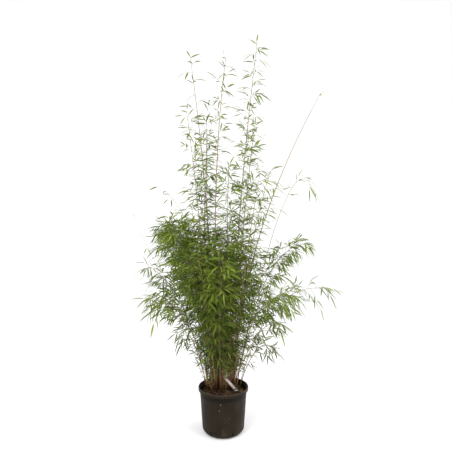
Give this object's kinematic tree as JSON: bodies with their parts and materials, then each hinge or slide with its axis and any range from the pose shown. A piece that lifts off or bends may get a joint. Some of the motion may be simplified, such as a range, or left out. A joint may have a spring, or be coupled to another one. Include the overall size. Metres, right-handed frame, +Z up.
{
  "type": "potted clumping bamboo",
  "caption": "Clump of thin arching bamboo culms with narrow leaves, standing in soil in a round black nursery pot with a deep lip and a plant label.",
  "frame": {"origin": "middle of the pot's flat base, on the surface it stands on", "axes": "+Z up along the pot's axis and the culms; -Y towards the pictured side, the label in front on that side; +X towards the arching bare culm"},
  "size_m": [1.0591, 0.5749, 2.0807],
  "materials": {
    "pot_plastic": "matt, moulded, faintly scuffed",
    "soil": "dull, crumbly",
    "label_plastic": "satin",
    "cane": "satin",
    "leafy_culm": "satin leaf"
  },
  "bodies": {
    "root": {"pot": "pot_plastic", "soil": "soil", "plant_label": "label_plastic", "tall_culm_01": "leafy_culm", "tall_culm_02": "leafy_culm", "tall_culm_03": "leafy_culm", "tall_culm_04": "leafy_culm", "tall_culm_05": "leafy_culm", "tall_culm_06": "leafy_culm", "tall_culm_07": "leafy_culm", "tall_culm_08": "leafy_culm", "tall_culm_09": "leafy_culm", "tall_culm_10": "leafy_culm", "tall_culm_11": "leafy_culm", "tall_culm_12": "leafy_culm", "tall_culm_13": "leafy_culm", "tall_culm_14": "leafy_culm", "bare_arching_culm": "cane", "outer_culm_01": "leafy_culm", "outer_culm_02": "leafy_culm", "outer_culm_03": "leafy_culm", "outer_culm_04": "leafy_culm", "outer_culm_05": "leafy_culm", "outer_culm_06": "leafy_culm", "outer_culm_07": "leafy_culm", "outer_culm_08": "leafy_culm", "outer_culm_09": "leafy_culm", "outer_culm_10": "leafy_culm", "middle_culm_01": "leafy_culm", "middle_culm_02": "leafy_culm", "middle_culm_03": "leafy_culm", "middle_culm_04": "leafy_culm", "middle_culm_05": "leafy_culm", "middle_culm_06": "leafy_culm", "middle_culm_07": "leafy_culm", "middle_culm_08": "leafy_culm", "middle_culm_09": "leafy_culm", "middle_culm_10": "leafy_culm", "middle_culm_11": "leafy_culm", "middle_culm_12": "leafy_culm", "middle_culm_13": "leafy_culm", "middle_culm_14": "leafy_culm", "middle_culm_15": "leafy_culm", "middle_culm_16": "leafy_culm", "middle_culm_17": "leafy_culm", "middle_culm_18": "leafy_culm", "middle_culm_19": "leafy_culm", "middle_culm_20": "leafy_culm", "middle_culm_21": "leafy_culm", "middle_culm_22": "leafy_culm"}
  },
  "joints": []
}
